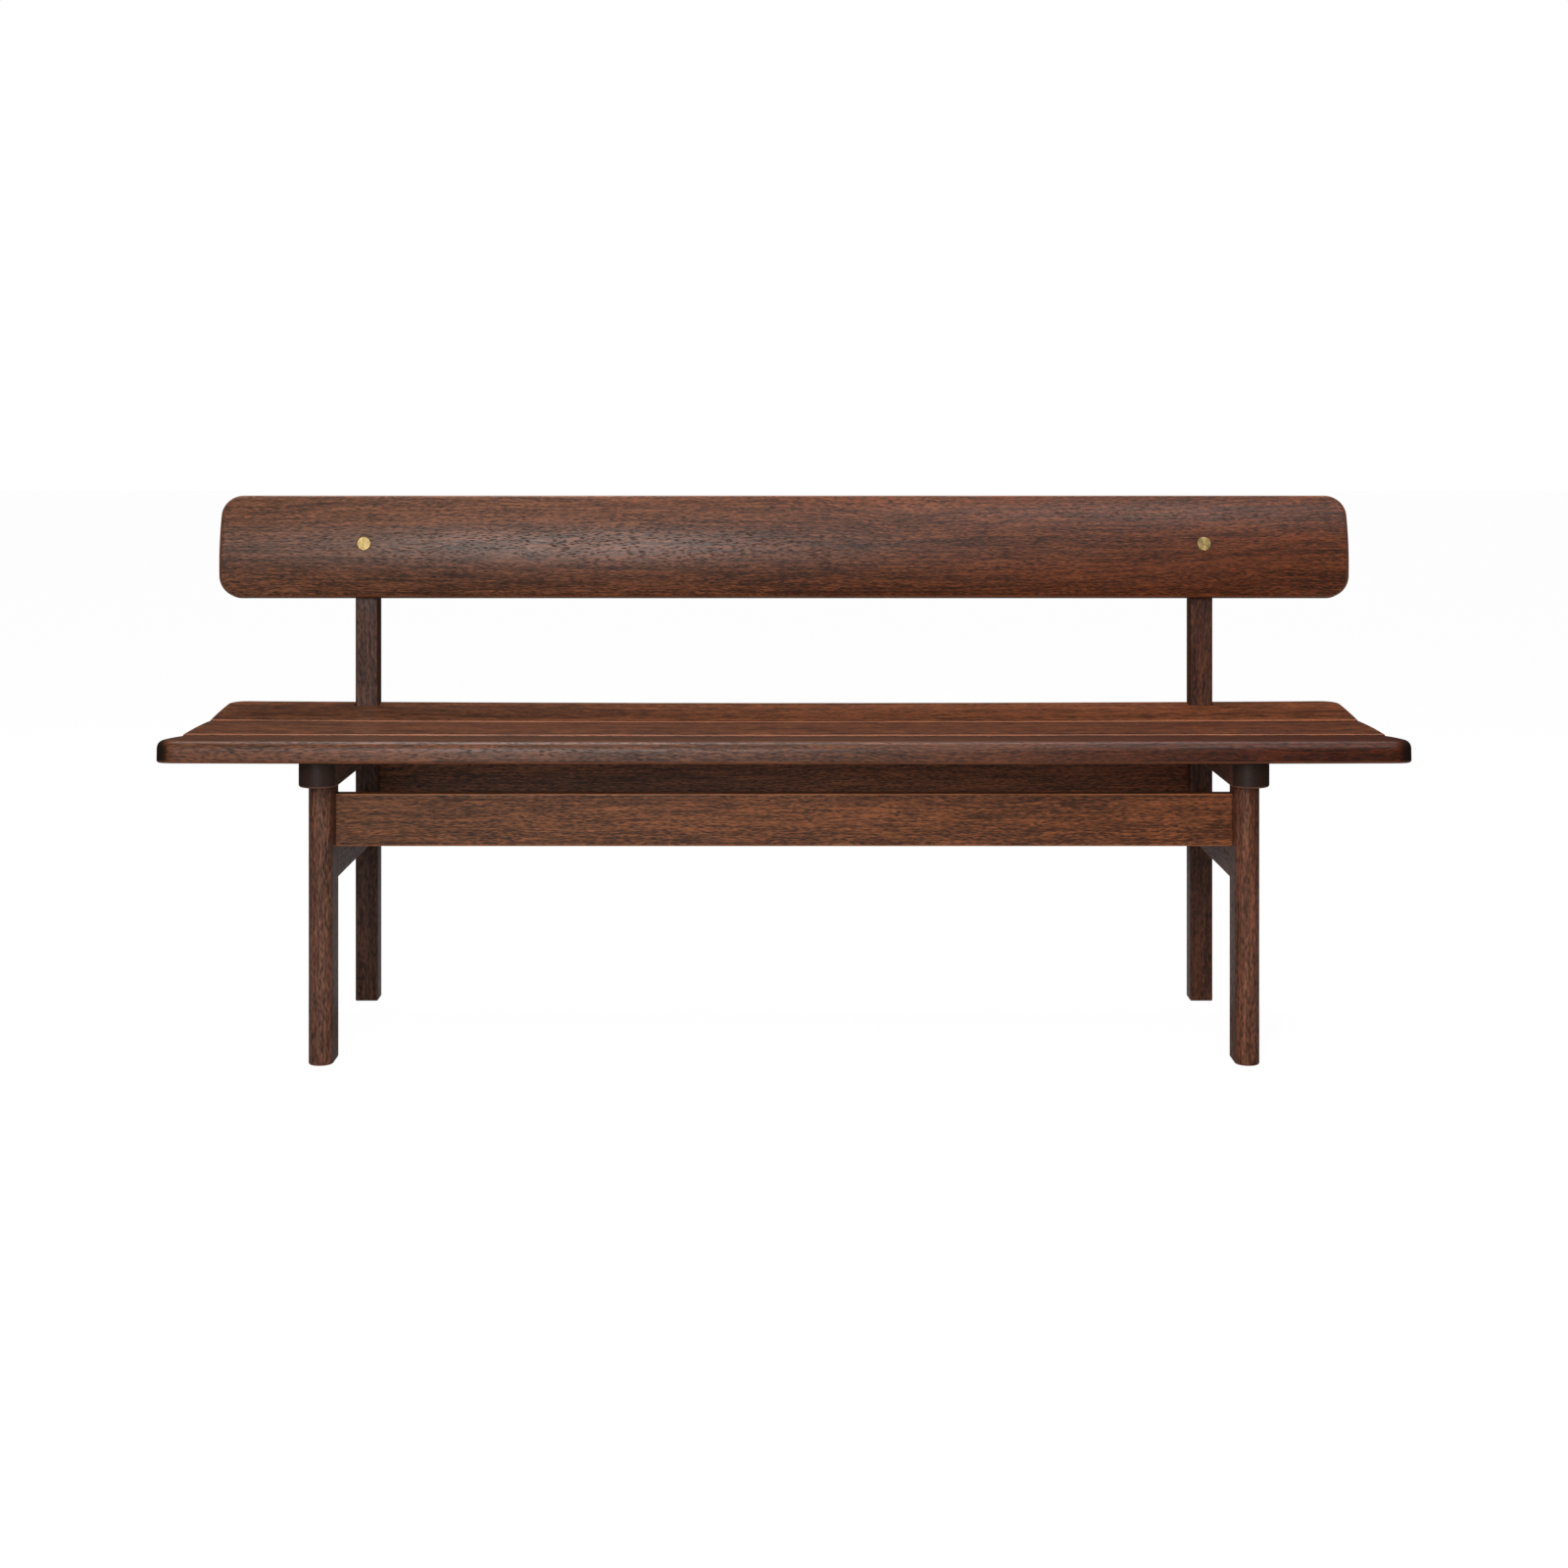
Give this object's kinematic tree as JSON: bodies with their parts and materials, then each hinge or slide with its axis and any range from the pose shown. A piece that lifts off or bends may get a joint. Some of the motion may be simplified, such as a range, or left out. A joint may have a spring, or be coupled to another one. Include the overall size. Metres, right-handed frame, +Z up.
{
  "type": "church pew",
  "caption": "Open bench pew in dark stained hardwood: dished plank seat, raked crowned back board on round-nosed legs and square posts, with slotted brass bolts.",
  "frame": {"origin": "on the floor, midway along the seat and midway between its front and rear edges", "axes": "+X along the bench, +Y from the front edge to the back, +Z up"},
  "size_m": [1.66, 0.4657, 0.7476],
  "materials": {
    "seat_wood": "dark stained hardwood, oiled satin, open pores along the planks",
    "back_wood": "dark stained hardwood, oiled satin, redder towards one end",
    "frame_wood": "dark stained hardwood, oiled satin, fine straight grain",
    "turned_brass": "face turned, unlacquered",
    "screw_steel": "zinc plated"
  },
  "bodies": {
    "root": {"seat_front_plank": "seat_wood", "seat_middle_plank": "seat_wood", "seat_rear_plank": "seat_wood", "back_board": "back_wood", "left_front_leg": "frame_wood", "right_front_leg": "frame_wood", "left_rear_post": "frame_wood", "right_rear_post": "frame_wood", "left_bearer": "frame_wood", "right_bearer": "frame_wood", "left_side_rail": "frame_wood", "right_side_rail": "frame_wood", "front_rail": "frame_wood", "rear_rail": "frame_wood", "left_back_bolt": "turned_brass", "right_back_bolt": "turned_brass", "left_sleeve_nut": "turned_brass", "right_sleeve_nut": "turned_brass", "front_plank_screws": "screw_steel", "middle_plank_screws": "screw_steel", "rear_plank_screws": "screw_steel"}
  },
  "joints": []
}
